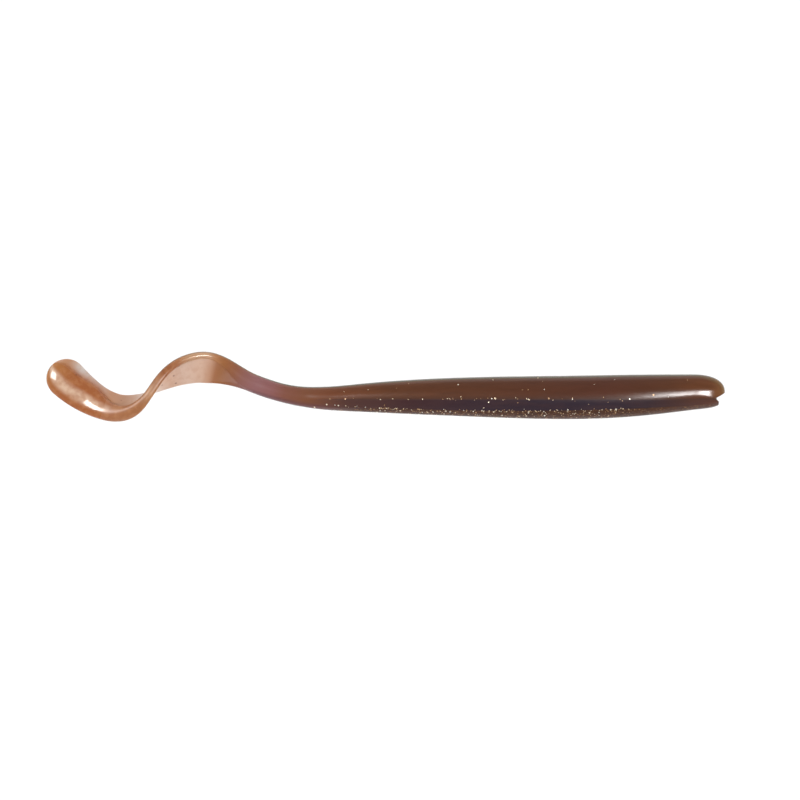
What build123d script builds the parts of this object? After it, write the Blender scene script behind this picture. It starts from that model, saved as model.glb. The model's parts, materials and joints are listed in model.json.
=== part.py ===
from build123d import *
import os
from math import cos, radians, sin

os.makedirs("parts", exist_ok=True)

# A ribbon-tail soft plastic worm, in mm. It lies on its side on z = 0: +X runs to the nose, +Y to its
# back and +Z up, and the origin is in the middle of its outline. It is one flexible casting of several
# pours. Its bending is cut into links, which meet in a knuckle and a socket at each bending section.

# Body outline: where a section stands, the height of its back and the height of its belly.
BODY_SECTIONS = (
    (-21.0, 0.95, -2.80),
    (-13.0, -0.15, -4.60),
    (3.0, 0.95, -5.40),
    (20.0, 1.70, -6.10),
    (37.0, 1.92, -6.47),
    (50.0, 2.12, -5.85),
    (59.5, 2.15, -4.70),
)
WIDTH_TO_HEIGHT = 0.95  # the body is a little narrower than it is high
NOSE_LENGTH = 6.05  # the rounded end beyond the last section
NOSE_RINGS = 6
NOSE_TURN = radians(82)  # how far round the nose its last ring stands

# Mouth notch: its floor, the corner of the upper lobe above it and the tip of the lower lip.
MOUTH_FLOOR = (64.1, -2.30)
UPPER_CORNER = (65.6, -1.78)
LIP_TIP = (64.4, -3.30)
LIP_END = (63.6, -4.30)
MOUTH_DEPTH = 20.0  # the notch runs right through

# Pours: the back meets the vein on a level face, and the vein meets the belly on an arched one.
BACK_LEVEL = -2.6
BELLY_ARCH = ((-30.0, -3.30), (37.0, -4.72), (66.0, -3.20))

# Ribbon tail: the line that its middle follows, seen from above, from the tail root to the tip.
TAIL_ROUTE = (
    (-17.5, -2.15),
    (-26.0, 0.65),
    (-35.8, 3.50),
    (-41.0, 1.75),
    (-45.4, -1.45),
    (-51.3, -4.10),
    (-57.8, -1.80),
    (-64.3, 4.15),
)
TAIL_RINGS = 6  # in each link of the tail
TIP_RINGS = 5
TIP_TURN = radians(80)  # how far round the tip's end its last ring stands
ROOT_HEIGHT, RIBBON_WIDTH, PADDLE_WIDTH = 3.6, 6.2, 7.7
RIBBON_RIM = (1.0, 0.9)  # half width and half thickness of the bead along the ribbon
PADDLE_RIM = (3.0, 1.5)  # the same, once the bead is the paddle at the tip
ROOT_RIM = (1.80, 1.70)  # the same, at the tail root
WEB_THICKNESS = 0.75
WEB_COLUMNS = 5  # points across the web
RIM_ARC = 90  # degrees of each arc round the bead
HALF_TWIST = 180.0  # the ribbon turns over once between the hump and the paddle

# Where the tail changes, as distances along its line: each change runs from the first to the second.
TO_RIBBON = (8.5, 19.0)
TWIST = (12.0, 48.0)
TO_PADDLE = (34.0, 46.0)  # of the bead
WIDENING = (39.0, 49.5)  # of the ribbon, to the width of the paddle

# Bending sections. Body ones stand across the body at x, and bend sideways (about Y) or up and down
# (about Z). Tail ones stand at a distance along the tail, and bend about the ribbon's own width.
SIDE, LIFT = (0, 1, 0), (0, 0, 1)
BODY_JOINTS = (
    ("nose_side_bend", 51.0, SIDE),
    ("shoulder_lift_bend", 37.0, LIFT),
    ("fore_side_bend", 23.0, SIDE),
    ("mid_lift_bend", 9.0, LIFT),
    ("rear_side_bend", -5.0, SIDE),
    ("root_lift_bend", -18.5, LIFT),
)
TAIL_JOINTS = (
    ("neck_curl", 14.5),
    ("arch_curl", 24.5),
    ("twist_curl", 35.0),
    ("tip_curl", 44.5),
)
BODY_BEND, TAIL_BEND = 24.0, 30.0  # degrees each way
BEND_MARGIN = 1.5  # degrees that a socket's lips stay clear at the limit
KNUCKLE_SHARE = 0.75  # of the half thickness that bends
BODY_GAP, TAIL_GAP = 0.2, 0.12  # between a knuckle and its socket
LINK_OVERRUN = 1.5  # how far a tail link is drawn past its bends before they cut it
REACH = 200.0  # larger than the worm


def ease(s, change):
    """0 before the change, 1 after it, smooth between."""
    t = min(max((s - change[0]) / (change[1] - change[0]), 0.0), 1.0)
    return t * t * (3 - 2 * t)


def body_ring(x):
    """Middle and half height of the body at x, between its sections."""
    for (x0, top0, low0), (x1, top1, low1) in zip(BODY_SECTIONS, BODY_SECTIONS[1:]):
        if x0 <= x <= x1:
            t = (x - x0) / (x1 - x0)
            top, low = top0 + t * (top1 - top0), low0 + t * (low1 - low0)
            return (top + low) / 2, (top - low) / 2


def cross_plane(x, middle, half_height):
    """The plane across the body at x, whose section rests on z = 0."""
    rest = WIDTH_TO_HEIGHT * half_height
    return Plane(origin=(x, middle, rest), x_dir=(0, 1, 0), z_dir=(1, 0, 0))


# ---------------------------------------------------------------------------------- whole body form
with BuildPart() as body_form:
    for x, top, low in BODY_SECTIONS:
        half_height = (top - low) / 2
        with BuildSketch(cross_plane(x, (top + low) / 2, half_height)):
            Ellipse(half_height, WIDTH_TO_HEIGHT * half_height)
    for ring in range(1, NOSE_RINGS + 1):
        turn = NOSE_TURN * ring / NOSE_RINGS
        place = cross_plane(x + NOSE_LENGTH * sin(turn), (top + low) / 2, half_height)
        with BuildSketch(place):
            Ellipse(half_height * cos(turn), WIDTH_TO_HEIGHT * half_height * cos(turn))
    loft()
    with BuildSketch(Plane.XY.offset(-MOUTH_DEPTH / 2)):
        with BuildLine():
            upper = Line((REACH, UPPER_CORNER[1]), UPPER_CORNER)
            floor = Line(upper @ 1, MOUTH_FLOOR)
            lip = ThreePointArc(floor @ 1, LIP_TIP, LIP_END)
            under = Line(lip @ 1, (LIP_END[0] + 1, -REACH))
            Line(under @ 1, (REACH, -REACH))
            Line((REACH, -REACH), upper @ 0)
        make_face()
    extrude(amount=2 * MOUTH_DEPTH, mode=Mode.SUBTRACT)


# ------------------------------------------------------------------------------------ tail geometry
with BuildLine() as tail_line:
    Spline(*TAIL_ROUTE, tangents=((-0.93, 0.36), (-0.66, 0.75)))
TAIL = tail_line.edges()[0]
TAIL_LENGTH = TAIL.length


def tail_sizes(s):
    """Full width of the ribbon at s, and the bead's half width and half thickness."""
    ribbon, paddle, widening = ease(s, TO_RIBBON), ease(s, TO_PADDLE), ease(s, WIDENING)
    width = ROOT_HEIGHT + ribbon * (RIBBON_WIDTH - ROOT_HEIGHT) + widening * (PADDLE_WIDTH - RIBBON_WIDTH)
    across, through = (
        root + ribbon * (bead - root) + paddle * (end - bead)
        for root, bead, end in zip(ROOT_RIM, RIBBON_RIM, PADDLE_RIM)
    )
    return width, across, through


def tail_plane(s):
    """The plane across the ribbon at s: its x runs to the bead, and its z along the tail."""
    along = TAIL.tangent_at(s, position_mode=PositionMode.LENGTH)
    point = TAIL.position_at(s, position_mode=PositionMode.LENGTH)
    width, _, through = tail_sizes(s)
    twist = radians(HALF_TWIST) * ease(s, TWIST)
    height = through + (width / 2 - through) * sin(twist)
    side = along.cross(Vector(0, 0, 1))
    to_bead = side * cos(twist) + Vector(0, 0, 1) * sin(twist)
    return Plane(origin=(point.X, point.Y, height), x_dir=to_bead, z_dir=along)


def tail_rings(start, end):
    """Distances along a stretch of the tail, closer together in the rounded tip, with their scale."""
    tip = TAIL_LENGTH - PADDLE_WIDTH / 2
    straight = min(end, tip)
    for ring in range(TAIL_RINGS):
        yield start + (straight - start) * ring / (TAIL_RINGS - 1), 1.0
    if end > tip:
        for ring in range(1, TIP_RINGS + 1):
            turn = TIP_TURN * ring / TIP_RINGS
            yield tip + PADDLE_WIDTH / 2 * sin(turn), cos(turn)


def rim_form(start, end):
    """The bead between two distances along the tail."""
    with BuildPart() as form:
        for s, scale in tail_rings(start, end):
            width, across, through = tail_sizes(s)
            middle = ((width / 2 - across) * scale, 0)
            with BuildSketch(tail_plane(s)):
                with BuildLine():
                    for start_angle in range(0, 360, RIM_ARC):
                        EllipticalCenterArc(
                            middle, across * scale, through * scale, start_angle, arc_size=RIM_ARC
                        )
                make_face()
        loft()
    return form


def web_form(start, end):
    """The web between two distances along the tail, from its free edge to the middle of the bead."""
    rows = []
    for s, scale in tail_rings(start, end):
        width, across, _ = tail_sizes(s)
        free_edge, bead = -width / 2 * scale, (width / 2 - across) * scale
        place = tail_plane(s)
        steps = [free_edge + (bead - free_edge) * k / (WEB_COLUMNS - 1) for k in range(WEB_COLUMNS)]
        rows.append([place.from_local_coords(Vector(step, 0, 0)) for step in steps])
    middle_surface = Face.make_surface_from_array_of_points(rows)
    with BuildPart() as form:
        thicken(middle_surface, amount=WEB_THICKNESS / 2, both=True)
    return form


# -------------------------------------------------------------------------------- bending sections
class Bend:
    """One bending section: a knuckle on the link ahead of it, in a socket in the link behind it."""

    def __init__(self, name, pivot, ahead, axis, half_thickness, limit, gap):
        self.name, self.pivot, self.axis, self.limit = name, Vector(pivot), Vector(axis), limit
        self.plane = Plane(origin=pivot, x_dir=ahead, z_dir=axis)
        self.radius = KNUCKLE_SHARE * half_thickness
        self.gap = gap

    def ahead(self):
        """Everything ahead of the bend, with the knuckle."""
        with BuildPart() as region:
            with BuildSketch(self.plane):
                Rectangle(REACH, REACH, align=(Align.MIN, Align.CENTER))
                Circle(self.radius)
            extrude(amount=REACH, both=True)
        return region.part

    def behind(self):
        """Everything behind the bend, less the socket and the room that its lips need to turn."""
        turn = radians(self.limit + BEND_MARGIN)
        lip = (-REACH * sin(turn), REACH * cos(turn))
        corners = ((0, 0), lip, (-REACH, lip[1]), (-REACH, -lip[1]), (lip[0], -lip[1]))
        with BuildPart() as region:
            with BuildSketch(self.plane):
                Polygon(*corners, align=None)
                Circle(self.radius + self.gap, mode=Mode.SUBTRACT)
            extrude(amount=REACH, both=True)
        return region.part


BENDS = {}
for name, x, axis in BODY_JOINTS:
    middle, half_height = body_ring(x)
    half_width = WIDTH_TO_HEIGHT * half_height
    half_thickness = half_width if axis == SIDE else half_height
    pivot = (x, middle, half_width)
    BENDS[name] = Bend(name, pivot, (1, 0, 0), axis, half_thickness, BODY_BEND, BODY_GAP)
for name, s in TAIL_JOINTS:
    across = tail_plane(s)
    BENDS[name] = Bend(
        name, across.origin, -across.z_dir, across.x_dir, tail_sizes(s)[2], TAIL_BEND, TAIL_GAP
    )


def link(form, front=None, rear=None):
    """The stretch of a form between the bend in front of it and the bend behind it."""
    with BuildPart() as stretch:
        add(form.part)
        if front:
            add(BENDS[front].behind(), mode=Mode.INTERSECT)
        if rear:
            add(BENDS[rear].ahead(), mode=Mode.INTERSECT)
    return stretch.part


# ---------------------------------------------------------------------------------------- the pours
with BuildPart() as back_region:
    with BuildSketch(Plane.XY):
        with Locations((0, BACK_LEVEL)):
            Rectangle(REACH, REACH, align=(Align.CENTER, Align.MIN))
    extrude(amount=REACH, both=True)

with BuildPart() as belly_region:
    with BuildSketch(Plane.XY):
        with BuildLine():
            arch = ThreePointArc(*BELLY_ARCH)
            Polyline(arch @ 1, (REACH, -REACH), (-REACH, -REACH), arch @ 0)
        make_face()
    extrude(amount=REACH, both=True)


def pour(stretch, name, inside=(), outside=()):
    """Writes the part of a stretch that lies in some regions and clear of others."""
    with BuildPart() as piece:
        add(stretch)
        for region in inside:
            add(region.part, mode=Mode.INTERSECT)
        for region in outside:
            add(region.part, mode=Mode.SUBTRACT)
    piece.part.label = name
    export_step(piece.part, f"parts/{name}.step")


BODY_LINKS = (
    ("nose", None, "nose_side_bend"),
    ("shoulder", "nose_side_bend", "shoulder_lift_bend"),
    ("fore_body", "shoulder_lift_bend", "fore_side_bend"),
    ("mid_body", "fore_side_bend", "mid_lift_bend"),
    ("rear_body", "mid_lift_bend", "rear_side_bend"),
)
for name, front, rear in BODY_LINKS:
    stretch = link(body_form, front, rear)
    pour(stretch, f"{name}_back", inside=[back_region])
    pour(stretch, f"{name}_vein", outside=[back_region, belly_region])
    pour(stretch, f"{name}_belly", inside=[belly_region], outside=[back_region])

root = link(body_form, "rear_side_bend", "root_lift_bend")
pour(root, "tail_root_back", inside=[back_region])
pour(root, "tail_root_vein", outside=[back_region])

# ----------------------------------------------------------------------------------------- the tail
TAIL_LINKS = ("tail_neck", "tail_arch", "tail_twist", "tail_dip", "tail_tip")
fronts = [("root_lift_bend", 0.0)] + list(TAIL_JOINTS)
rears = list(TAIL_JOINTS) + [(None, TAIL_LENGTH)]
for name, (front, start), (rear, end) in zip(TAIL_LINKS, fronts, rears):
    start, end = max(start - LINK_OVERRUN, 0.0), min(end + LINK_OVERRUN, TAIL_LENGTH)
    rim = rim_form(start, end)
    web = web_form(start, end)
    pour(link(rim, front, rear), f"{name}_rim")
    pour(link(web, front, rear), f"{name}_web", outside=[rim])

for bend in BENDS.values():
    pivot = tuple(round(v / 1000, 6) for v in bend.pivot)
    axis = tuple(round(v, 6) for v in bend.axis)
    print(f"{bend.name} {pivot} {axis} {bend.limit}")
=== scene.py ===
import json
import random
from math import pi

import bpy
import numpy as np
from mathutils import Matrix, Vector

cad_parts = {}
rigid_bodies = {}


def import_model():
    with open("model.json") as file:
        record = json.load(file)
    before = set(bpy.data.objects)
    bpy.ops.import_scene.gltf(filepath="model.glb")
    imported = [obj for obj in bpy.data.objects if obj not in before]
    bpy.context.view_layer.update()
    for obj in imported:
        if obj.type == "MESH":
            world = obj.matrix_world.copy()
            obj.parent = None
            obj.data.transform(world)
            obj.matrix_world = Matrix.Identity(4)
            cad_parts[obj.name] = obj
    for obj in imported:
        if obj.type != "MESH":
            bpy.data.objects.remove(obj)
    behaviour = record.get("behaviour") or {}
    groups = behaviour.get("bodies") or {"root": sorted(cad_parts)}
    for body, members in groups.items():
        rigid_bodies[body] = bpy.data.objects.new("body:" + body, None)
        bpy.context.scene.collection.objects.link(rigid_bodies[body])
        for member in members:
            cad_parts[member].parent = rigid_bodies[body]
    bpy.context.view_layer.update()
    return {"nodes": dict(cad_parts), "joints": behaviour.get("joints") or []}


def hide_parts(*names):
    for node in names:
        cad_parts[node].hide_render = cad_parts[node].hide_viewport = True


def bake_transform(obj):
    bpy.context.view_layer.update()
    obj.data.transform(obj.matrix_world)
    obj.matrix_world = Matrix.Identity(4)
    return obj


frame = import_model()

# The looks of a ribbon-tail soft plastic worm. Lengths are in mm, and become metres in make_object.
# Every skin piece is read off one surface, skin(q, phi): q runs along the worm from the nose to the tip
# of the tail, and phi runs round it from the back edge, over the upper side, to the belly edge. Where q
# is a length along the middle line, it is called s: 0 is where the tail starts, and the body is below 0.
MM = 0.001

# ------------------------------------------------------------------------ the worm's driving numbers
# Body outline, close to the CAD model's, with more sections where it turns into the tail: x, height of
# the back, height of the belly.
BODY_SECTIONS = (
    (59.5, 2.15, -4.70),
    (50.0, 2.12, -5.80),
    (37.0, 1.92, -6.47),
    (20.0, 1.68, -6.12),
    (3.0, 0.98, -5.42),
    (-5.0, 0.32, -5.05),
    (-13.0, -0.25, -4.55),
    (-17.5, 0.12, -3.95),
)
BACK_SLOPE, BELLY_SLOPE = 0.0, 0.12  # of the outline at the nose
BACK_RISE, BELLY_RISE = -0.26, -0.22  # of the outline at the root of the tail
WIDTH_TO_HEIGHT = 0.95  # of the body
NOSE_LENGTH = 6.15
NOSE_TRAVEL = 8.0  # what q runs over the nose
NOSE_FULLNESS = (2.3, 2.8)  # above and below its middle: 2 is an ellipsoid, more is blunter
FULLNESS_CHANGE = (0.0, 0.6)  # how far below the middle it changes, as a share of the half height
MOUTH = (63.9, -2.45)  # x and y of the notch between the nose and the lower lip
LIP_RISE, LIP_DROP = 0.50, 0.80  # how far the lower lip stands out, and how far under the mouth
UPPER_LOBE_SLOPE = 1.7  # how much further forward the nose reaches for each mm over the mouth
MOUTH_ROUNDING = 0.14
BACK_LEVEL = -2.6  # y of the line between the back and the vein
BELLY_ARCH = ((-30.0, -2.10), (33.0, -4.85), (66.0, -3.40))  # points of the arc over the belly
BELLY_FADE = (0.0, -12.5)  # x over which the belly pour narrows to nothing
LAST_BELLY = 0.15  # radians either side of the belly edge where it ends

# The tail's middle line, from behind the last body section to its tip.
TAIL_ROUTE = (
    (-26.0, 0.65),
    (-35.8, 3.50),
    (-41.0, 1.75),
    (-45.4, -1.45),
    (-51.3, -4.10),
    (-57.8, -1.80),
    (-64.3, 4.15),
)
TIP_DIRECTION = (-0.66, 0.75)
TAIL_LENGTH = 52.6
ROOT_HEIGHT, RIBBON_WIDTH, PADDLE_WIDTH = 3.6, 6.2, 7.7
TIP_RADIUS = PADDLE_WIDTH / 2
# Half width and half thickness of the bead at the tail's root, along the ribbon and in the paddle.
ROOT_RIM, RIBBON_RIM, PADDLE_RIM = (1.80, 1.70), (0.62, 0.86), (3.0, 1.4)
# Half thickness of the web beside the bead, and at its free edge.
ROOT_WEB, RIBBON_WEB = (1.30, 1.05), (0.42, 0.30)
EDGE_ROUNDING = 1.3  # of the free edge's half thickness: how far in its rounding starts
BEAD_SHARE = 0.85  # of the bead's half width: where the web's surface leaves it
FURTHEST_SEAM = -0.8  # cosine of the largest phi where it may leave it
MERGE_POWER = 3  # how tightly the bead and the web run into each other
SWELL = 0.4  # how much thicker the bead is just before the paddle than in it
HALF_TWIST = pi  # of the ribbon, from one end of TWIST to the other

# Where the shape changes, as s at the start and at the end of each change.
LEAN = (-9.0, 1.0)  # the sections turn from the body's axis to the tail's line
JOIN = (-5.0, 3.0)  # the body's section becomes the tail's
THINNING = (0.0, 20.0)  # the neck thins to the ribbon
TO_RIBBON = (8.5, 19.0)  # and takes on its width
TWIST = (13.0, 47.0)
TO_PADDLE = (31.5, 45.0)  # the bead widens
THICKENING = (30.0, 38.0)  # thickens
PADDLE_THINNING = (38.0, 43.5)  # and gives up its swell
WIDENING = (39.0, 49.5)  # the ribbon takes on the paddle's width

# Mesh: segments round each pour and along a wall inside, and the longest step along the worm.
BACK_STEPS, VEIN_STEPS, BELLY_STEPS, WEB_STEPS, WALL_STEPS = 72, 20, 56, 72, 6
BODY_STEP, TAIL_STEP, END_STEP = 0.45, 0.25, 0.14
LINE_SAMPLES = 6000
DIRECTION_STEP = 0.05  # either side of a point of the line, to find its direction
NORMAL_STEP, NORMAL_TURN = 0.02, 0.004  # along q and phi, to find the way out of the skin
BEND_SAMPLES = 64  # points round the ring that a bend starts or ends at


def ease(value, change):
    """0 before the change, 1 after it, smooth between."""
    t = np.clip((value - change[0]) / (change[1] - change[0]), 0.0, 1.0)
    return t * t * (3 - 2 * t)


def mix(a, b, share):
    return a + (b - a) * share


class Spline:
    """A smooth cubic through values at rising knots, with given slopes at its two ends."""

    def __init__(self, knots, values, first_slope, last_slope):
        self.knots, self.values = np.array(knots, float), np.array(values, float)
        gaps = np.diff(self.knots)
        rises = np.diff(self.values, axis=0)
        count = len(self.knots)
        system = np.eye(count)
        known = np.zeros_like(self.values)
        known[0], known[-1] = first_slope, last_slope
        for k in range(1, count - 1):
            before, after = 1 / gaps[k - 1], 1 / gaps[k]
            system[k, k - 1 : k + 2] = before, 2 * (before + after), after
            known[k] = 3 * (rises[k - 1] * before**2 + rises[k] * after**2)
        self.slopes = np.linalg.solve(system, known)

    def at(self, place):
        place = np.asarray(place, float)
        k = np.clip(np.searchsorted(self.knots, place) - 1, 0, len(self.knots) - 2)
        gap = self.knots[k + 1] - self.knots[k]
        t = (place - self.knots[k]) / gap
        if self.values.ndim > 1:
            gap, t = gap[..., None], t[..., None]
        rise = t * t * (3 - 2 * t)
        return (
            mix(self.values[k], self.values[k + 1], rise)
            + gap * t * (1 - t) ** 2 * self.slopes[k]
            - gap * t * t * (1 - t) * self.slopes[k + 1]
        )


# -------------------------------------------------------------------- the line the worm's middle follows
def lengths_along(points):
    """How far each point is from the first, point by point."""
    gaps = np.linalg.norm(np.diff(np.array(points), axis=0), axis=1)
    return np.concatenate([[0.0], np.cumsum(gaps)])


xs, backs, bellies = zip(*BODY_SECTIONS[::-1])
back_line = Spline(xs, backs, BACK_RISE, BACK_SLOPE)
belly_line = Spline(xs, bellies, BELLY_RISE, BELLY_SLOPE)

middle_points = [(x, (back + belly) / 2) for x, back, belly in BODY_SECTIONS] + list(TAIL_ROUTE)
middle_knots = lengths_along(middle_points)
first_direction = (-1.0, -(BACK_SLOPE + BELLY_SLOPE) / 2)
middle_line = Spline(middle_knots, middle_points, first_direction, TIP_DIRECTION)
line_points = middle_line.at(np.linspace(0, middle_knots[-1], LINE_SAMPLES))
line_lengths = lengths_along(line_points)
line_start = TAIL_LENGTH - line_lengths[-1]  # s at the body section next to the nose
line_lengths = line_lengths + line_start
tip_start = TAIL_LENGTH - TIP_RADIUS
nose_end, tip_end = line_start - NOSE_TRAVEL, tip_start + TIP_RADIUS * pi / 2  # the first and the last q


def line_point(s):
    return np.stack([np.interp(s, line_lengths, line_points[:, k]) for k in (0, 1)], -1)


def line_direction(s):
    ahead, behind = line_point(s + DIRECTION_STEP), line_point(s - DIRECTION_STEP)
    return (ahead - behind) / np.linalg.norm(ahead - behind, axis=-1, keepdims=True)


def tail_sizes(s):
    """Half width of the ribbon at s, and the bead's half width and half thickness."""
    width = mix(ROOT_HEIGHT, RIBBON_WIDTH, ease(s, TO_RIBBON))
    width = width + ease(s, WIDENING) * (PADDLE_WIDTH - RIBBON_WIDTH)
    changes = ((TO_RIBBON, TO_PADDLE), (THINNING, THICKENING))
    across, through = (
        mix(root, bead, ease(s, first)) + ease(s, last) * (end - bead)
        for root, bead, end, (first, last) in zip(ROOT_RIM, RIBBON_RIM, PADDLE_RIM, changes)
    )
    swell = SWELL * ease(s, THICKENING) * (1 - ease(s, PADDLE_THINNING))
    return width / 2, across, through + swell


def section(s):
    """Half width, bead half width and half thickness at s, anywhere on the worm."""
    x = line_point(s)[..., 0]
    half_height = (back_line.at(x) - belly_line.at(x)) / 2
    half_width, across, through = tail_sizes(s)
    tail = ease(s, JOIN)
    return (
        mix(half_height, half_width, tail),
        mix(half_height, across, tail),
        mix(WIDTH_TO_HEIGHT * half_height, through, tail),
    )


def half_thickness(a, s, half_width, across, through):
    """Half thickness of the worm at a across its section: the bead's ellipse running into the web."""
    middle = half_width - across
    bead = np.sqrt(np.clip(1 - ((a - middle) / across) ** 2, 0, 1))
    thinner = ease(s, THINNING)
    web_root, web_edge = (mix(r, w, thinner) for r, w in zip(ROOT_WEB, RIBBON_WEB))
    from_edge = np.clip(a + half_width, 0, None)
    taper = mix(web_edge, web_root, np.clip(from_edge / (2 * half_width - across), 0, 1))
    rounding = np.sqrt(1 - np.clip(1 - from_edge / (EDGE_ROUNDING * web_edge), 0, 1) ** 2)
    web = taper * rounding * np.where(a > middle, bead, 1.0) * ease(s, JOIN)
    return ((through * bead) ** MERGE_POWER + web**MERGE_POWER) ** (1 / MERGE_POWER)


def line_frame(s):
    """Origin of the section at s, the way to the bead, and the way up out of it."""
    point, direction = line_point(s), line_direction(s)
    lean = ease(s, LEAN)[..., None]
    direction = mix(np.array([-1.0, 0.0]), direction, lean)
    direction = direction / np.linalg.norm(direction, axis=-1, keepdims=True)
    flat = np.zeros(point.shape[:-1])
    along = np.stack([direction[..., 0], direction[..., 1], flat], -1)
    side = np.stack([direction[..., 1], -direction[..., 0], flat], -1)
    twist = HALF_TWIST * ease(s, TWIST)[..., None]
    up = np.array([0.0, 0.0, 1.0])
    to_bead = side * np.cos(twist) + up * np.sin(twist)
    half_width, across, through = section(s)
    # Its lowest point is near z = 0, whether it lies flat or stands on its edge.
    height = through + (half_width - through) * np.sin(twist[..., 0])
    origin = np.stack([point[..., 0], point[..., 1], height], -1)
    return origin, to_bead, np.cross(to_bead, along)


def mouth_limit(y):
    """How far forward the nose may reach at height y: the mouth's notch, over the lower lip."""
    below, above = MOUTH[1] - y, y - MOUTH[1]
    lip = LIP_RISE * ease(below, (LIP_DROP / 4, LIP_DROP))
    lobe = UPPER_LOBE_SLOPE * np.clip(above, 0, None)
    return MOUTH[0] + np.where(y > MOUTH[1], lobe, lip)


def nose_skin(turn, phi):
    """The rounded nose: turn is 0 at the last body section and a quarter turn in the mouth."""
    base = line_start
    half_height, _, half_width = section(np.array(base))
    x0, middle = line_point(base)
    share = np.cos(turn)
    across = (MOUTH[1] - middle) * (1 - share) + half_height * share * np.cos(phi)
    out = half_width * share * np.sin(phi)
    radius = np.hypot(across / half_height, out / half_width)
    fullness = mix(*NOSE_FULLNESS, ease(-across / half_height, FULLNESS_CHANGE))
    reach = NOSE_LENGTH * np.clip(1 - radius**fullness, 0, 1) ** (1 / fullness)
    limit = mouth_limit(middle + across) - x0
    # The nose reaches as far as the shorter of the two, with a rounded edge between them.
    shorter, gap = np.minimum(reach, limit), np.abs(reach - limit)
    blend = np.clip(1 - gap / MOUTH_ROUNDING, 0, 1)
    x = shorter - blend**2 * MOUTH_ROUNDING / 4
    fading = x * np.clip(1 - x / NOSE_LENGTH, 0, 1)  # the body's own taper runs on into the nose
    lift = BELLY_SLOPE * fading * np.clip(-across / half_height, 0, 1)
    narrowing = 1 - WIDTH_TO_HEIGHT * BELLY_SLOPE / 2 * fading / half_width
    return np.stack([x0 + x, middle + across + lift, (half_width + out) * narrowing], -1)


def skin(q, phi):
    """Points of the worm's surface, in mm. q and phi are arrays of one shape."""
    q, phi = np.broadcast_arrays(np.asarray(q, float), np.asarray(phi, float))
    tip = np.clip((q - tip_start) / TIP_RADIUS, 0, pi / 2)
    s = np.clip(np.where(q > tip_start, tip_start + TIP_RADIUS * np.sin(tip), q), line_start, TAIL_LENGTH)
    half_width, across, through = section(s)
    a = half_width * np.cos(phi)
    b = np.sign(np.sin(phi)) * half_thickness(a, s, half_width, across, through)
    origin, to_bead, up = line_frame(s)
    scale = np.cos(tip)
    points = origin + to_bead * (a * scale)[..., None] + up * (b * scale)[..., None]
    turn = np.clip((line_start - q) / NOSE_TRAVEL, 0, 1) * pi / 2
    return np.where((q < line_start)[..., None], nose_skin(turn, phi), points)


def skin_normal(q, phi):
    """Outward directions of the surface."""
    q, phi = np.broadcast_arrays(np.asarray(q, float), np.asarray(phi, float))
    low, high = (np.clip(q + step, nose_end, tip_end) for step in (-NORMAL_STEP, NORMAL_STEP))
    along = skin(high, phi) - skin(low, phi)
    around = skin(q, phi + NORMAL_TURN) - skin(q, phi - NORMAL_TURN)
    normal = np.cross(along, around)
    length = np.linalg.norm(normal, axis=-1, keepdims=True)
    return normal / np.maximum(length, 1e-12)


# ------------------------------------------------------------------------------- where the pours meet
def arch_height(x):
    """Height of the arc between the vein and the belly."""
    (x1, y1), (x2, y2), (x3, y3) = BELLY_ARCH
    system = np.array([[2 * (x2 - x1), 2 * (y2 - y1)], [2 * (x3 - x1), 2 * (y3 - y1)]])
    squares = x1**2 + y1**2
    known = np.array([x2**2 + y2**2 - squares, x3**2 + y3**2 - squares])
    cx, cy = np.linalg.solve(system, known)
    radius = np.hypot(x1 - cx, y1 - cy)
    return cy - np.sqrt(radius**2 - (x - cx) ** 2)


def upper_seam(q):
    """phi where the back meets the vein, and further on where the tail's bead meets its web."""
    s = np.clip(q, line_start, TAIL_LENGTH)
    half_width, across, _ = section(s)
    middle = line_point(s)[..., 1]
    body = np.arccos(np.clip((BACK_LEVEL - middle) / half_width, -1, 1))
    tail = np.arccos(np.clip((half_width - across * (1 + BEAD_SHARE)) / half_width, FURTHEST_SEAM, 1))
    return mix(body, tail, ease(s, JOIN))


def arch_seam(q):
    """phi where the arc over the belly comes out of the skin."""
    s = np.clip(q, line_start, TAIL_LENGTH)
    half_width, _, _ = section(s)
    x, middle = np.moveaxis(line_point(s), -1, 0)
    return np.arccos(np.clip((arch_height(x) - middle) / half_width, -1, 1))


def lower_seam(q):
    """phi where the vein meets the belly, which narrows to nothing at the root of the tail."""
    x = line_point(np.clip(q, line_start, TAIL_LENGTH))[..., 0]
    return mix(arch_seam(q), pi - LAST_BELLY, ease(-x, (-BELLY_FADE[0], -BELLY_FADE[1])))


# ------------------------------------------------------------------------------------- skin pieces
class Outline:
    """The closed outline of one pour, ring by ring: arcs of skin joined by straight walls inside."""

    def __init__(self, q, arcs):
        points, normals, q_values, phi_values, self.on_skin = [], [], [], [], []
        sides = []
        for start, end, count in arcs:
            phi = mix(start(q)[:, None], end(q)[:, None], np.linspace(0, 1, count + 1)[None])
            rows = np.broadcast_to(q[:, None], phi.shape)
            sides.append((skin(rows, phi), skin_normal(rows, phi), rows, phi))
        for side, following in zip(sides, sides[1:] + sides[:1]):
            arc_points, arc_normals, rows, phi = side
            points.append(arc_points)
            normals.append(arc_normals)
            q_values.append(rows)
            phi_values.append(phi)
            self.on_skin += [True] * (phi.shape[1] - 1) + [False] * WALL_STEPS
            share = np.linspace(0, 1, WALL_STEPS + 1)[1:-1][None, :, None]
            wall = mix(arc_points[:, -1:], following[0][:, :1], share)
            points.append(wall)
            normals.append(np.zeros_like(wall))
            q_values.append(np.broadcast_to(q[:, None], wall.shape[:2]))
            phi_values.append(np.broadcast_to(phi[:, -1:], wall.shape[:2]))
        self.points = np.concatenate(points, 1)
        self.normals = np.concatenate(normals, 1)
        self.q = np.concatenate(q_values, 1)
        self.phi = np.concatenate(phi_values, 1)


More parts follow.
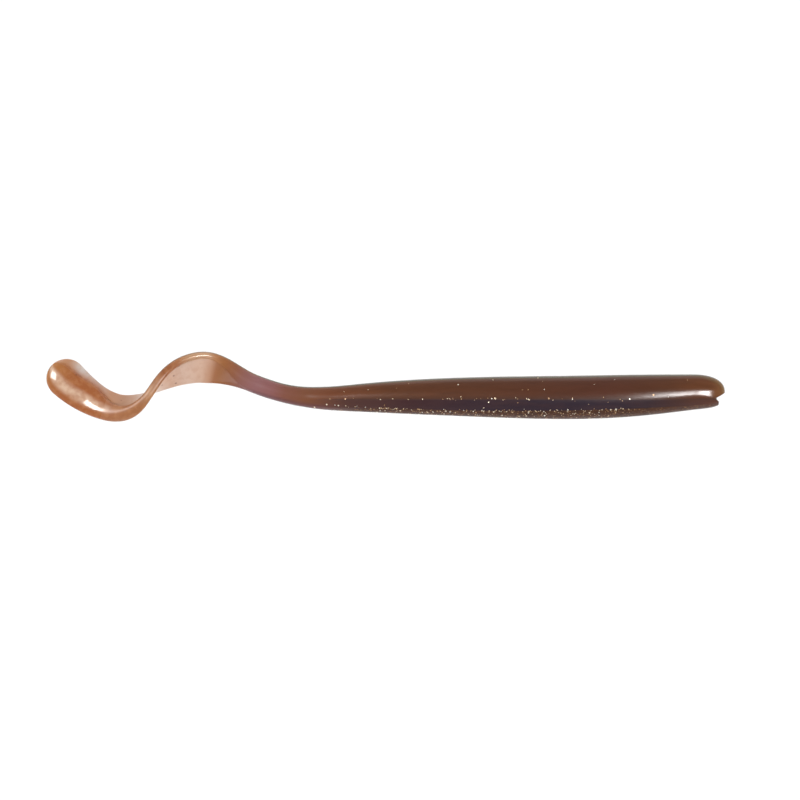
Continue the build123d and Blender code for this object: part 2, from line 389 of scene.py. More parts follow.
def add_attribute(mesh, name, kind, values):
    """Numbers, or vectors, that the mesh keeps for its points."""
    key = {"FLOAT": "value", "FLOAT_VECTOR": "vector"}[kind]
    mesh.attributes.new(name, kind, "POINT").data.foreach_set(key, np.ravel(values).astype(np.float32))


def make_object(name, points, faces, material):
    """An object in the scene from points in mm."""
    mesh = bpy.data.meshes.new(name)
    mesh.from_pydata((np.asarray(points) * MM).tolist(), [], faces)
    mesh.materials.append(material)
    piece = bpy.data.objects.new(name, mesh)
    bpy.context.scene.collection.objects.link(piece)
    return piece


def loft(name, outline, material, nose=False, tip=False):
    """A closed piece through an outline's rings. Its ends are flat, or close to a point at nose or tip."""
    rings, around = outline.points.shape[:2]
    points = outline.points.reshape(-1, 3).tolist()
    q, phi = outline.q.ravel().tolist(), outline.phi.ravel().tolist()
    faces, smooth, corner_normals = [], [], []

    def add_face(corners, on_skin, normals):
        faces.append(corners)
        smooth.append(on_skin)
        corner_normals.extend(normals if on_skin else [(0.0, 0.0, 0.0)] * len(corners))

    ring_normals = outline.normals.reshape(-1, 3)
    facing = ring_normals
    for i in range(rings - 1):
        for j in range(around):
            k = (j + 1) % around
            corners = (i * around + j, (i + 1) * around + j, (i + 1) * around + k, i * around + k)
            add_face(corners, outline.on_skin[j], ring_normals[list(corners)])
    for ring, pointed, at in ((0, nose, nose_end), (rings - 1, tip, tip_end)):
        loop = [ring * around + j for j in range(around)]
        if not pointed:
            add_face(loop if ring == 0 else loop[::-1], False, None)
            continue
        pole = len(points)
        pole_point = skin(np.array(at), np.array(0.0))
        points.append(pole_point.tolist())
        q.append(at)
        phi.append(0.0)
        out = pole_point - outline.points[ring].mean(0)
        out = out / np.linalg.norm(out)
        facing = np.vstack([facing, out])
        for j in range(around):
            k = (j + 1) % around
            corners = (loop[j], loop[k], pole) if ring == 0 else (loop[k], loop[j], pole)
            normals = [ring_normals[corners[0]], ring_normals[corners[1]], out]
            add_face(corners, outline.on_skin[j], normals)
    piece = make_object(name, points, faces, material)
    mesh = piece.data
    mesh.polygons.foreach_set("use_smooth", smooth)
    mesh.normals_split_custom_set([tuple(n) for n in corner_normals])
    add_surface_attributes(mesh, np.array(q), np.array(phi), np.array(points), facing)
    return piece


def add_surface_attributes(mesh, q, phi, points, normals):
    """What the materials read at each point of the resting worm.

    Its place and the way out of the skin, q, how far it is past the bead's crest as a share of the bead's
    half width, and its height over the line between the back and the vein.
    """
    half_width, across, _ = section(np.clip(q, line_start, TAIL_LENGTH))
    crest = half_width - across
    add_attribute(mesh, "rest", "FLOAT_VECTOR", points)
    add_attribute(mesh, "facing", "FLOAT_VECTOR", normals)
    add_attribute(mesh, "along", "FLOAT", q)
    add_attribute(mesh, "past_crest", "FLOAT", (half_width * np.cos(phi) - crest) / across)
    add_attribute(mesh, "over_vein", "FLOAT", points[:, 1] - BACK_LEVEL)


# --------------------------------------------------------------------------------------- materials
LIGHT_LEVEL = 1.2  # how much brighter than its own colour a surface that faces up looks here
POLISHED, PATCHINESS, DULLER = 0.12, 0.14, 0.03  # the body's roughness: least, its patches, behind the nose
TAIL_ROUGHNESS, FROSTING = 0.15, 0.3  # of the bead, and what its frosted run before the paddle adds
SPECULAR = 0.35  # of the soft plastic
SPECK_CORE = 0.6  # of a speck's size: how much of it has its full colour
BODY_RIPPLE, BELLY_GRAIN, TAIL_RIPPLE = 0.00001, 0.00015, 0.00002  # height of the bumps, in m

# Where one look fades in, as q with none of it and q with all of it.
NOSE = (-76.5, -81.0)
BEHIND_NOSE = (-80.0, -66.0)
BEFORE_NECK = (-3.0, -14.0)
BEFORE_NECK_BELOW = (-5.0, -14.0)
NECK_FROM_BODY, NECK_FROM_TAIL = (-12.0, -3.0), (12.0, 6.0)
TAIL_MOTTLE, TAIL_WEB = (14.0, 18.0), (16.0, 18.0)
HUMP_FROM_BODY, HUMP_FROM_TIP = (16.0, 19.0), (29.0, 25.0)
FROST_FROM_BODY, FROST_FROM_TIP = (24.0, 28.0), (40.5, 38.5)
PADDLE = (36.5, 41.0)


def linear(red, green, blue):
    """A colour given as it should look on an sRGB screen in this light, from 0 to 255, for a shader."""
    return tuple(
        (c / 12.92 if c <= 0.04045 else ((c + 0.055) / 1.055) ** 2.4) / LIGHT_LEVEL
        for c in (red / 255, green / 255, blue / 255)
    ) + (1.0,)


class Material:
    """One glossy plastic, with a few short ways to add its nodes."""

    def __init__(self, name, roughness=0.25, metallic=0.0, specular=0.5):
        self.material = bpy.data.materials.new(name)
        self.material.use_nodes = True
        self.nodes, self.links = self.material.node_tree.nodes, self.material.node_tree.links
        self.shader = self.nodes["Principled BSDF"]
        self.shader.inputs["Roughness"].default_value = roughness
        self.shader.inputs["Metallic"].default_value = metallic
        self.shader.inputs["Specular IOR Level"].default_value = specular

    def put(self, value, socket):
        if isinstance(value, bpy.types.NodeSocket):
            self.links.new(value, socket)
        else:
            socket.default_value = value

    def read(self, attribute):
        node = self.nodes.new("ShaderNodeAttribute")
        node.attribute_name = attribute
        return node.outputs["Vector" if attribute in ("rest", "facing") else "Fac"]

    def part(self, attribute, axis):
        """One part, X, Y or Z, of a vector attribute."""
        node = self.nodes.new("ShaderNodeSeparateXYZ")
        self.put(self.read(attribute), node.inputs[0])
        return node.outputs[axis]

    def edge_on(self):
        """How far the resting surface faces sideways: 1 along the worm's outline, 0 on top."""
        up = self.part("facing", "Z")
        return self.math("SQRT", self.math("SUBTRACT", 1.0, self.times(up, up)))

    def math(self, operation, first, second=0.0):
        node = self.nodes.new("ShaderNodeMath")
        node.operation = operation
        self.put(first, node.inputs[0])
        self.put(second, node.inputs[1])
        return node.outputs[0]

    def times(self, product, *factors):
        for factor in factors:
            product = self.math("MULTIPLY", product, factor)
        return product

    def fade(self, value, start, end):
        """0 at start, 1 at end, smooth between; end may be the smaller."""
        node = self.nodes.new("ShaderNodeMapRange")
        node.interpolation_type = "SMOOTHSTEP"
        self.put(value, node.inputs["Value"])
        node.inputs["From Min"].default_value = min(start, end)
        node.inputs["From Max"].default_value = max(start, end)
        node.inputs["To Min"].default_value = 0.0 if start < end else 1.0
        node.inputs["To Max"].default_value = 1.0 if start < end else 0.0
        return node.outputs["Result"]

    def blend(self, share, first, second):
        """A colour from first, at share 0, to second, at share 1."""
        node = self.nodes.new("ShaderNodeMix")
        node.data_type = "RGBA"
        by_kind = {(s.name, s.type): s for s in node.inputs}
        self.put(share, by_kind["Factor", "VALUE"])
        self.put(first, by_kind["A", "RGBA"])
        self.put(second, by_kind["B", "RGBA"])
        return next(s for s in node.outputs if s.type == "RGBA")

    def ramp(self, value, start, end, stops):
        """A colour that changes from stop to stop, each a place between start and end with its colour."""
        node = self.nodes.new("ShaderNodeValToRGB")
        self.put(self.fade_linear(value, start, end), node.inputs["Fac"])
        elements = node.color_ramp.elements
        while len(elements) > 1:
            elements.remove(elements[-1])
        for k, (place, colour) in enumerate(sorted(stops)):
            share = (place - start) / (end - start)
            element = elements[0] if k == 0 else elements.new(share)
            element.position = share
            element.color = colour
        return node.outputs["Color"]

    def fade_linear(self, value, start, end):
        node = self.nodes.new("ShaderNodeMapRange")
        self.put(value, node.inputs["Value"])
        node.inputs["From Min"].default_value = start
        node.inputs["From Max"].default_value = end
        return node.outputs["Result"]

    def stretched(self, stretch):
        """The rest position with its lengthwise part shortened, for streaks that run along the worm."""
        node = self.nodes.new("ShaderNodeVectorMath")
        node.operation = "MULTIPLY"
        self.put(self.read("rest"), node.inputs[0])
        node.inputs[1].default_value = (1 / stretch, 1, 1)
        return node.outputs[0]

    def noise(self, scale, detail=2.0, stretch=1.0):
        node = self.nodes.new("ShaderNodeTexNoise")
        self.put(self.stretched(stretch), node.inputs["Vector"])
        node.inputs["Scale"].default_value = scale
        node.inputs["Detail"].default_value = detail
        return node.outputs["Fac"]

    def specks(self, scale, size):
        """1 on small round specks, 0 elsewhere, and a random number for each speck."""
        node = self.nodes.new("ShaderNodeTexVoronoi")
        self.put(self.read("rest"), node.inputs["Vector"])
        node.inputs["Scale"].default_value = scale
        return self.fade(node.outputs["Distance"], size, size * SPECK_CORE), node.outputs["Color"]

    def bump(self, height, distance):
        node = self.nodes.new("ShaderNodeBump")
        self.put(height, node.inputs["Height"])
        node.inputs["Distance"].default_value = distance
        self.put(node.outputs["Normal"], self.shader.inputs["Normal"])

    def roughness(self, value):
        self.put(value, self.shader.inputs["Roughness"])

    def colour(self, value):
        self.put(value, self.shader.inputs["Base Color"])

    def gloss(self, along):
        """The body's gloss, in fine patches over faint ripples, and a little duller behind the nose."""
        patches = self.times(self.noise(2.5), PATCHINESS)
        dull = self.times(self.fade(along, *BEHIND_NOSE), DULLER)
        self.roughness(self.math("ADD", POLISHED, self.math("ADD", patches, dull)))
        self.bump(self.noise(1.6, 3.0, stretch=3.0), BODY_RIPPLE)


FIRST_Q, LAST_Q = -85.0, 58.0  # the ends of every run of colours along the worm
# The neck of the tail has one run of colours all round it, which its four pours share.
NECK_COLOURS = [
    (-2.0, linear(122, 76, 54)),
    (2.0, linear(128, 80, 66)),
    (4.5, linear(138, 90, 88)),
    (8.0, linear(142, 98, 98)),
    (10.5, linear(140, 94, 86)),
    (12.5, linear(142, 90, 66)),
    (15.0, linear(152, 98, 60)),
]


def under_neck(m, along, base):
    """A colour of the neck of the tail, with its underside a dark purple."""
    below = m.fade(m.part("facing", "Y"), -0.35, -0.85)
    neck = m.times(m.fade(along, *NECK_FROM_BODY), m.fade(along, *NECK_FROM_TAIL))
    return m.blend(m.times(below, neck, 0.7), base, linear(92, 56, 64))


def brown_back():
    m = Material("brown_back", specular=SPECULAR)
    along = m.read("along")
    base = m.ramp(along, FIRST_Q, LAST_Q, [
        (-83.0, linear(128, 86, 52)),
        (-79.0, linear(104, 62, 38)),
        (-72.0, linear(90, 54, 36)),
        (-60.0, linear(86, 50, 37)),
        (-34.0, linear(90, 54, 36)),
        (-18.0, linear(98, 58, 36)),
        (-8.0, linear(114, 66, 42)),
    ] + NECK_COLOURS)
    body = m.fade(along, *BEFORE_NECK)
    # The vein's purple creeps a little into it, and darker streaks run along it.
    beside_vein = m.fade(m.read("over_vein"), 0.8, 0.0)
    shaded = m.blend(m.times(beside_vein, 0.55, body), base, linear(72, 50, 44))
    streaks = m.fade(m.noise(0.9, 4.0, stretch=6.0), 0.35, 0.75)
    shaded = m.blend(m.times(streaks, body, 0.22), shaded, linear(64, 38, 26))
    # Painted rim light: an olive glow along the ridge, where the resting surface faces sideways, with a
    # crisp wavy edge that turns wide and soft at the nose.
    nose = m.fade(along, *NOSE)
    wavy = m.math("ADD", 0.82, m.times(m.noise(0.5), 0.07))
    from_edge = m.math("SUBTRACT", m.edge_on(), m.math("SUBTRACT", wavy, m.times(nose, 0.3)))
    crisp = m.times(m.fade(from_edge, 0.0, 0.06), m.math("SUBTRACT", 1.0, nose))
    soft = m.times(m.fade(from_edge, -0.05, 0.45), nose)
    upward = m.fade(m.part("facing", "Y"), -0.5, 0.0)
    painted_rim_light = m.times(upward, m.math("ADD", crisp, soft))
    rim_light_olive = m.blend(nose, linear(84, 72, 42), linear(112, 80, 26))
    m.colour(under_neck(m, along, m.blend(m.times(painted_rim_light, 0.85), shaded, rim_light_olive)))
    m.gloss(along)
    return m.material


def purple_vein():
    m = Material("purple_vein", specular=SPECULAR)
    along = m.read("along")
    base = m.ramp(along, FIRST_Q, LAST_Q, [
        (-80.0, linear(96, 58, 42)),
        (-75.0, linear(74, 48, 42)),
        (-68.0, linear(56, 42, 48)),
        (-60.0, linear(50, 40, 50)),
        (-36.0, linear(54, 40, 48)),
        (-22.0, linear(66, 42, 44)),
        (-10.0, linear(84, 54, 48)),
    ] + NECK_COLOURS)
    body = m.fade(along, *BEFORE_NECK)
    # Paler clouds drift along it, and its upper edge is the back's brown.
    clouds = m.fade(m.noise(0.8, 4.0, stretch=5.0), 0.35, 0.7)
    clouded = m.blend(m.times(clouds, body, 0.35), base, linear(76, 52, 50))
    beside_back = m.fade(m.read("over_vein"), -0.35, 0.0)
    edged = m.blend(m.times(beside_back, body, 0.8), clouded, linear(78, 54, 46))
    m.colour(under_neck(m, along, edged))
    m.gloss(along)
    return m.material


def flaked_belly():
    m = Material("flaked_belly", roughness=0.40, specular=0.2)
    along = m.read("along")
    base = m.ramp(along, FIRST_Q, LAST_Q, [
        (-82.0, linear(90, 56, 42)),
        (-72.0, linear(78, 46, 26)),
        (-40.0, linear(74, 44, 28)),
        (-20.0, linear(78, 47, 33)),
        (-11.0, linear(84, 54, 44)),
        (-5.0, linear(104, 66, 50)),
    ])
    # Darker patches, and painted shade along the worm's outline: a redder tone where the resting surface
    # faces sideways, away from the light overhead.
    patches = m.times(m.fade(m.noise(1.1, 3.0, stretch=2.0), 0.4, 0.7), m.fade(along, *BEFORE_NECK_BELOW))
    base = m.blend(m.times(patches, 0.5), base, linear(52, 34, 28))
    outline = m.times(m.fade(m.edge_on(), 0.6, 1.0), 0.3)
    base = m.blend(outline, base, linear(84, 46, 36))
    # The finest flakes, below those that are pieces of their own.
    specks, chance = m.specks(2.4, 0.34)
    gold = m.blend(m.fade(chance, 0.3, 0.8), linear(92, 58, 34), linear(190, 144, 98))
    m.colour(m.blend(m.times(specks, 0.5), base, gold))
    m.bump(m.noise(2.2, 3.0), BELLY_GRAIN)
    return m.material


def tail_bead(m, along):
    """Colours of the tail's bead, for the bead and for the web that runs into it."""
    run = m.ramp(along, FIRST_Q, LAST_Q, NECK_COLOURS + [
        (16.6, linear(168, 116, 80)),
        # Painted light: along the hump, where the bead faces up to the light, it is paler than where the
        # twist turns it edge-on.
        (17.8, linear(196, 156, 124)),
        (20.5, linear(188, 146, 112)),
        (23.0, linear(158, 100, 66)),
        (26.0, linear(150, 90, 54)),
        (30.0, linear(172, 122, 80)),
        (33.0, linear(156, 96, 50)),
        (37.0, linear(164, 104, 62)),
        (41.0, linear(160, 94, 56)),
        (48.0, linear(160, 96, 58)),
        (56.0, linear(178, 122, 70)),
    ])
    mottle = m.fade(m.noise(0.8, 4.0), 0.42, 0.68)
    tail = m.fade(along, *TAIL_MOTTLE)
    return m.blend(m.times(mottle, 0.3, tail), run, linear(198, 142, 98))


def amber_rim():
    m = Material("amber_rim", specular=SPECULAR)
    along = m.read("along")
    crest = m.read("past_crest")
    run = tail_bead(m, along)
    # Painted reflection: a pale band of the light overhead along the paddle's bead, near its thickest part,
    # with deeper amber to its sides.
    painted_overhead_reflection = m.times(m.fade(crest, -0.4, 0.1), m.fade(crest, 0.72, 0.25))
    patchy = m.math("ADD", m.times(m.fade(m.noise(0.7, 4.0), 0.3, 0.65), 0.5), 0.5)
    lit = m.blend(m.times(painted_overhead_reflection, patchy, m.fade(along, *PADDLE)), run, linear(214, 180, 154))
    # Painted shade: along the hump, a darker line in the crease where the bead's inner edge runs into the
    # web.
    hump = m.times(m.fade(along, *HUMP_FROM_BODY), m.fade(along, *HUMP_FROM_TIP))
    painted_crease_shade = m.times(m.fade(crest, -0.25, -0.7), hump)
    lit = m.blend(m.times(painted_crease_shade, 0.8), lit, linear(176, 130, 102))
    # Painted rim light: an olive glow along its outline, where the resting surface faces sideways, on the
    # hump and round the upper side of the paddle's end.
    upward = m.fade(m.part("facing", "Y"), -0.1, 0.4)
    outer = m.times(upward, m.fade(crest, -0.2, 0.3))
    outline = m.times(m.fade(m.edge_on(), 0.72, 0.97), outer)
    lit = m.blend(m.times(outline, 0.8), lit, linear(122, 96, 62))
    m.colour(under_neck(m, along, lit))
    frosted = m.times(m.fade(along, *FROST_FROM_BODY), m.fade(along, *FROST_FROM_TIP))
    m.roughness(m.math("ADD", m.times(frosted, FROSTING), TAIL_ROUGHNESS))
    m.bump(m.noise(0.9), TAIL_RIPPLE)
    return m.material


def clear_web():
    m = Material("clear_web", roughness=0.28, specular=SPECULAR)
    along = m.read("along")
    crest = m.read("past_crest")
    web = m.ramp(along, FIRST_Q, LAST_Q, NECK_COLOURS + [
        (16.0, linear(156, 100, 64)),
        (17.2, linear(186, 140, 112)),
        (19.0, linear(204, 168, 146)),
        (22.5, linear(210, 178, 160)),
        (26.0, linear(202, 162, 138)),
        (29.0, linear(204, 168, 144)),
        (34.0, linear(190, 146, 118)),
        (39.0, linear(190, 142, 112)),
        (42.5, linear(190, 162, 148)),
        (48.0, linear(200, 188, 180)),
        (51.0, linear(178, 126, 88)),
    ])
    tail = m.fade(along, *TAIL_WEB)
    clouds = m.fade(m.noise(1.1, 4.0), 0.4, 0.7)
    web = m.blend(m.times(clouds, 0.3, tail), web, linear(184, 138, 112))
    beside_bead = m.fade(crest, -1.4, -0.85)
    base = m.blend(m.times(beside_bead, tail), web, tail_bead(m, along))
    dark, _ = m.specks(0.55, 0.16)
    speckled = m.blend(m.times(dark, tail, 0.6), base, linear(96, 52, 40))
    m.colour(under_neck(m, along, speckled))
    m.bump(m.noise(0.9), TAIL_RIPPLE)
    return m.material


def flake_metal():
    m = Material("flake_metal", roughness=0.35, metallic=0.3)
    bright = m.read("bright")
    # Partly painted glints: the flakes with the most shine are painted near white, as if catching the
    # light, and the dimmest read as lying deeper in the plastic.
    m.colour(m.ramp(bright, 0.0, 1.0, [
        (0.0, linear(128, 88, 56)),
        (0.5, linear(190, 148, 104)),
        (0.8, linear(246, 222, 186)),
        (1.0, linear(255, 250, 236)),
    ]))
    return m.material


MATERIALS = {
    "brown_back": brown_back(),
    "purple_vein": purple_vein(),
    "flaked_belly": flaked_belly(),
    "amber_rim": amber_rim(),
    "clear_web": clear_web(),
}

# ------------------------------------------------------------------------------ stretches and pieces
# A stretch runs from the middle of one link to the middle of the next, over the joint between them.
LINKS = (
    "nose", "shoulder", "fore_body", "mid_body", "rear_body", "tail_root",
    "tail_neck", "tail_arch", "tail_twist", "tail_dip", "tail_tip",
)
joint_of = {frozenset((j["parent"], j["child"])): j for j in frame["joints"]}
joints = [joint_of[frozenset(pair)] for pair in zip(LINKS, LINKS[1:])]
LAST_STRETCH = len(joints) - 1


def joint_place(joint):
    """q at a joint."""
    x, y, _ = (v / MM for v in joint["pos_m"])
    away = np.hypot(line_points[:, 0] - x, line_points[:, 1] - y)
    return line_lengths[np.argmin(away)]


link_ends = [line_start - NOSE_LENGTH] + [joint_place(j) for j in joints] + [TAIL_LENGTH]
link_middles = [(a + b) / 2 for a, b in zip(link_ends, link_ends[1:])]


def steps(start, end, longest):
    """Even places from start to end, no further apart than longest."""
    return np.linspace(start, end, max(2, int(np.ceil((end - start) / longest)) + 1))


def stretch_rings(k):
    """q of every ring of stretch k, closer together in the nose, the tail and the tip."""
    start, end = link_middles[k], link_middles[k + 1]
    if k == 0:
        nose = steps(nose_end + END_STEP, line_start, END_STEP)
        return np.concatenate([nose, steps(line_start, end, BODY_STEP)[1:]])
    if k == LAST_STRETCH:
        tip = steps(tip_start, tip_end - END_STEP, END_STEP)
        return np.concatenate([steps(start, tip_start, TAIL_STEP), tip[1:]])
    return steps(start, end, BODY_STEP if end < LEAN[0] else TAIL_STEP)


def far(seam):
    """The same seam on the worm's lower side."""
    return lambda q: 2 * pi - seam(q)


# The arcs of skin that bound each pour: the seams at their ends, and the segments between.
OVER_BACK = [(lambda q: -upper_seam(q), upper_seam, BACK_STEPS)]
ALL_BELOW = [(upper_seam, far(upper_seam), WEB_STEPS)]
OVER_BELLY = [(lower_seam, far(lower_seam), BELLY_STEPS)]
BOTH_FLANKS = [(upper_seam, lower_seam, VEIN_STEPS), (far(lower_seam), far(upper_seam), VEIN_STEPS)]

# The pours of a stretch: name, material and arcs.
BODY_POURS = (
    ("back", "brown_back", OVER_BACK),
    ("vein", "purple_vein", BOTH_FLANKS),
    ("belly", "flaked_belly", OVER_BELLY),
)
ROOT_POURS = (("back", "brown_back", OVER_BACK), ("vein", "purple_vein", ALL_BELOW))
TAIL_POURS = (("rim", "amber_rim", OVER_BACK), ("web", "clear_web", ALL_BELOW))
TAIL_POUR_BEHIND = {"back": "rim", "vein": "web"}  # what the root's pours run on into


def pours_of(ahead):
    if ahead == "tail_root":
        return ROOT_POURS
    return TAIL_POURS if ahead.startswith("tail_") else BODY_POURS


def bend_with(piece, k, rings):
    """Finds the middles of stretch k's end rings and the way between them, then bakes the piece's place
    into its mesh.
    """
    around = np.linspace(0, 2 * pi, BEND_SAMPLES)
    first_q = rings[0] if k else link_middles[0]
    last_q = link_middles[k + 1] if k == LAST_STRETCH else rings[-1]
    first, last = (skin(np.full(BEND_SAMPLES, q), around) for q in (first_q, last_q))
    from_middle, to_middle = first.mean(0), last.mean(0)
    way = to_middle - from_middle
    way = way / np.linalg.norm(way)
    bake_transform(piece)


def make_stretch(k):
    """The skin pieces of stretch k, with the CAD nodes they take the place of, on both links, hidden."""
    ahead, behind = LINKS[k], LINKS[k + 1]
    rings = stretch_rings(k)
    for pour, slot, arcs in pours_of(ahead):
        name = f"{joints[k]['name']}_{pour}"
        piece = loft(name, Outline(rings, arcs), MATERIALS[slot], nose=k == 0, tip=k == LAST_STRETCH)
        pour_behind = TAIL_POUR_BEHIND[pour] if ahead == "tail_root" else pour
        nodes = (f"{ahead}_{pour}", f"{behind}_{pour_behind}")
        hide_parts(*[node for node in nodes if node in frame["nodes"]])
        bend_with(piece, k, rings)


for k in range(len(joints)):
    make_stretch(k)

# ------------------------------------------------------------------------------------------ flakes
FLAKED_STRETCHES = 6  # from the nose
FLAKE_SEED = 7
FLAKE_SIZE = (0.09, 0.19)  # radius
FLAKE_THICKNESS = 0.03
FLAKE_SIDES = 6
# Where flakes lie, with how many to a mm of the worm: in the belly, along the arc over it, along the line
# between back and vein, and in the back.
FLAKE_KINDS = (("belly", 11.0), ("seam", 3.2), ("top_seam", 1.3), ("back", 1.1))
FLAKES_BEGIN, FLAKES_END = (-18.0, 2.0), (38.0, 54.0)  # x over which they grow dense, and sparse again
BACK_SHARE = 0.3  # of the back's flakes: how many are left outside that
SEAM_SPREAD, TOP_SEAM_SPREAD = 0.05, 0.03  # radians that flakes stray from their seam
RIDGE = 0.3  # radians from the back's edge with no flakes
MOST_TILT = 0.5  # radians
SINKING = 0.6  # how deep a flake lies, as a share of what its tilt lifts its edge
SEAM_SHINE, PLAIN_SHINE = 0.45, 1.1  # powers: the smaller, the more bright flakes


def flake_mesh(placed):
    """Closed hexagonal platelets at points of the skin, as one piece."""
    points, faces, bright = [], [], []
    for centre, normal, turn, tilt, radius, shine in placed:
        x_axis = Matrix.Rotation(turn, 3, Vector(normal)) @ Vector(normal).orthogonal().normalized()
        leaned = Matrix.Rotation(tilt, 3, x_axis) @ Vector(normal)
        y_axis = leaned.cross(x_axis)
        first = len(points)
        for level in (-FLAKE_THICKNESS / 2, FLAKE_THICKNESS / 2):
            for k in range(FLAKE_SIDES):
                angle = 2 * pi * k / FLAKE_SIDES
                corner = x_axis * radius * np.cos(angle) + y_axis * radius * np.sin(angle)
                points.append(tuple(Vector(centre) + corner + leaned * level))
        low = [first + k for k in range(FLAKE_SIDES)]
        high = [first + FLAKE_SIDES + k for k in range(FLAKE_SIDES)]
        faces.append(tuple(low[::-1]))
        faces.append(tuple(high))
        for k in range(FLAKE_SIDES):
            n = (k + 1) % FLAKE_SIDES
            faces.append((low[k], low[n], high[n], high[k]))
        bright += [shine] * (2 * FLAKE_SIDES)
    return points, faces, bright


def flake_places(rng, start, end):
    """Where the flakes between two q lie, most in the belly and along its upper edge, and how."""
    placed = []
    for kind, density in FLAKE_KINDS:
        for _ in range(int(density * (end - start))):
            q = np.array(rng.uniform(start, end))
            x = line_point(q)[0]
            busy = ease(x, FLAKES_BEGIN) * (1 - ease(x, FLAKES_END))
            if rng.random() > (max(busy, BACK_SHARE) if kind == "back" else busy):
                continue
            side = rng.choice((1, -1))
            if kind == "belly":
                phi = mix(lower_seam(q), pi, rng.random())
            elif kind == "seam":
                phi = arch_seam(q) + rng.gauss(0, SEAM_SPREAD)
            elif kind == "top_seam":
                phi = upper_seam(q) + rng.gauss(0, TOP_SEAM_SPREAD)
            else:
                phi = mix(RIDGE, lower_seam(q), rng.random())
            radius = rng.uniform(*FLAKE_SIZE)
            tilt = rng.uniform(0.0, MOST_TILT)
            shine = rng.random() ** (SEAM_SHINE if kind == "seam" else PLAIN_SHINE)
            normal = skin_normal(q, phi * side)
            sunk = skin(q, phi * side) - normal * (SINKING * radius * np.sin(tilt))
            placed.append((sunk, normal, rng.uniform(0, pi), tilt, radius, shine))
    return placed


rng = random.Random(FLAKE_SEED)
metal = flake_metal()
for k in range(FLAKED_STRETCHES):
    start, end = link_middles[k], link_middles[k + 1]
    points, faces, bright = flake_mesh(flake_places(rng, start if k else line_start, end))
    flakes = make_object(f"{joints[k]['name']}_flakes", points, faces, metal)
    add_attribute(flakes.data, "bright", "FLOAT", bright)
    bend_with(flakes, k, (start, end))

# ------------------------------------------------------------------------- camera, light and floor
VIEW_WIDTH = 154.4  # that the picture shows, at the height VIEW_HEIGHT
VIEW_CENTRE = (2.9, -2.8)
VIEW_HEIGHT, CAMERA_HEIGHT = 4.0, 900.0
SENSOR_WIDTH = 36.0
FLOOR_DROP = 250.0  # the floor is well below the worm, so that its bent ends never reach it
FLOOR_SIZE = 6000.0
FLOOR_COLOUR = (0.87, 0.87, 0.87, 1.0)
WHITE = (1.0, 1.0, 1.0, 1.0)
HORIZON_LIGHT, OVERHEAD_LIGHT, SEEN_LIGHT = 1.8, 0.35, 1.0  # the dome low down, overhead, and to the camera
REFLECTED_DOME = 0.12  # of the dome's light, in reflections
# Soft boxes: the way to each, how far off it is, its size and its power in watts. The first two light
# the worm evenly, and the last two are seen only in reflections.
EVEN_LIGHTS = {
    "key": ((0.45, -0.30, 1.0), 1100.0, (300.0, 260.0), 4.6),
    "fill": ((-0.75, 0.25, 1.0), 1200.0, (260.0, 400.0), 4.0),
}
SHINING_LIGHTS = {
    "key_shine": ((0.50, -0.08, 1.0), 1070.0, (430.0, 240.0), 17.0),
    "fill_shine": ((-0.80, 0.27, 1.0), 1200.0, (440.0, 520.0), 24.0),
}


def add_camera():
    camera_data = bpy.data.cameras.new("camera")
    camera = bpy.data.objects.new("camera", camera_data)
    bpy.context.scene.collection.objects.link(camera)
    camera.location = (VIEW_CENTRE[0] * MM, VIEW_CENTRE[1] * MM, CAMERA_HEIGHT * MM)
    camera_data.sensor_width = SENSOR_WIDTH
    camera_data.lens = SENSOR_WIDTH * (CAMERA_HEIGHT - VIEW_HEIGHT) / VIEW_WIDTH
    bpy.context.scene.camera = camera


def add_area_light(name, direction, distance, size, power, shines):
    """A soft box that faces the worm's middle; one that shines is seen only in reflections."""
    light_data = bpy.data.lights.new(name, "AREA")
    light_data.shape = "RECTANGLE"
    light_data.size, light_data.size_y = size[0] * MM, size[1] * MM
    light_data.energy = power
    light = bpy.data.objects.new(name, light_data)
    bpy.context.scene.collection.objects.link(light)
    away = Vector(direction).normalized()
    light.location = away * distance * MM
    light.rotation_euler = away.to_track_quat("Z", "Y").to_euler()
    light.visible_diffuse, light.visible_glossy = not shines, shines


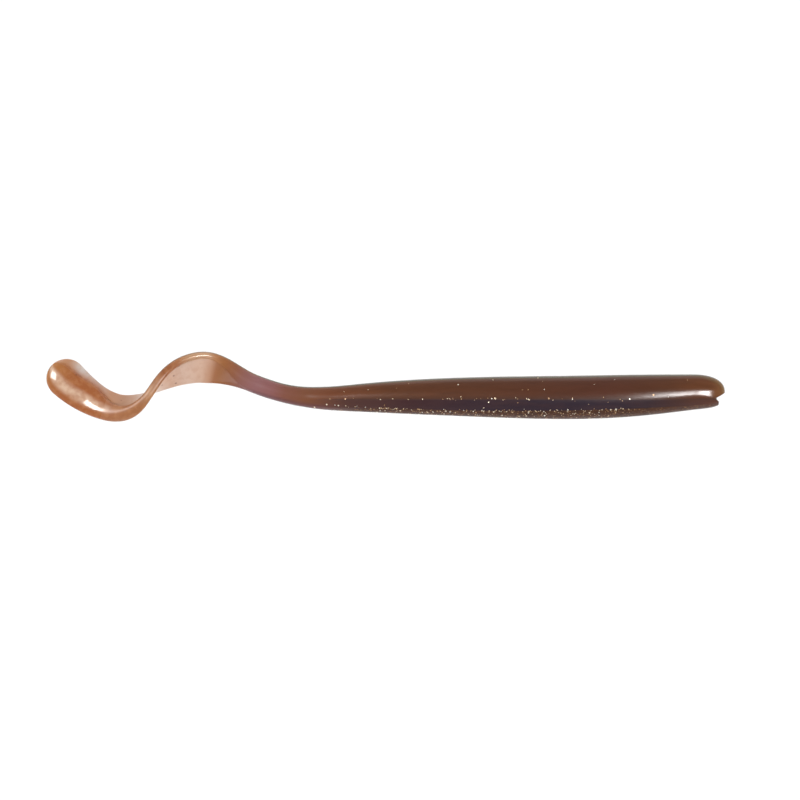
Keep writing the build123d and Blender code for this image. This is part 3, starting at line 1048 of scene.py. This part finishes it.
def add_floor():
    mesh = bpy.data.meshes.new("floor")
    half, drop = FLOOR_SIZE / 2 * MM, -FLOOR_DROP * MM
    corners = [(-half, -half, drop), (half, -half, drop), (half, half, drop), (-half, half, drop)]
    mesh.from_pydata(corners, [], [(0, 1, 2, 3)])
    floor = bpy.data.objects.new("floor", mesh)
    bpy.context.scene.collection.objects.link(floor)
    pale = Material("floor_paper", roughness=0.9)
    pale.colour(FLOOR_COLOUR)
    mesh.materials.append(pale.material)


def add_world():
    """A soft dome: dim overhead, pale near the horizon, and white where the camera sees it."""
    world = bpy.data.worlds.new("studio")
    bpy.context.scene.world = world
    world.use_nodes = True
    nodes, links = world.node_tree.nodes, world.node_tree.links
    direction = nodes.new("ShaderNodeTexCoord")
    height = nodes.new("ShaderNodeSeparateXYZ")
    links.new(direction.outputs["Generated"], height.inputs["Vector"])
    dome = nodes.new("ShaderNodeMapRange")
    dome.interpolation_type = "SMOOTHSTEP"
    dome.inputs["To Min"].default_value = HORIZON_LIGHT
    dome.inputs["To Max"].default_value = OVERHEAD_LIGHT
    links.new(height.outputs["Z"], dome.inputs["Value"])
    path = nodes.new("ShaderNodeLightPath")
    reflected = nodes.new("ShaderNodeMath")
    reflected.operation = "MULTIPLY_ADD"
    links.new(path.outputs["Is Glossy Ray"], reflected.inputs[0])
    reflected.inputs[1].default_value = REFLECTED_DOME - 1
    reflected.inputs[2].default_value = 1.0
    lit = nodes.new("ShaderNodeMath")
    lit.operation = "MULTIPLY"
    links.new(dome.outputs["Result"], lit.inputs[0])
    links.new(reflected.outputs[0], lit.inputs[1])
    seen = nodes.new("ShaderNodeMapRange")
    seen.inputs["To Max"].default_value = SEEN_LIGHT
    links.new(lit.outputs[0], seen.inputs["To Min"])
    links.new(path.outputs["Is Camera Ray"], seen.inputs["Value"])
    nodes["Background"].inputs["Color"].default_value = WHITE
    links.new(seen.outputs["Result"], nodes["Background"].inputs["Strength"])


bpy.context.scene.view_settings.view_transform = "Standard"
add_camera()
for lights, shines in ((EVEN_LIGHTS, False), (SHINING_LIGHTS, True)):
    for name, light in lights.items():
        add_area_light(name, *light, shines=shines)
add_floor()
add_world()
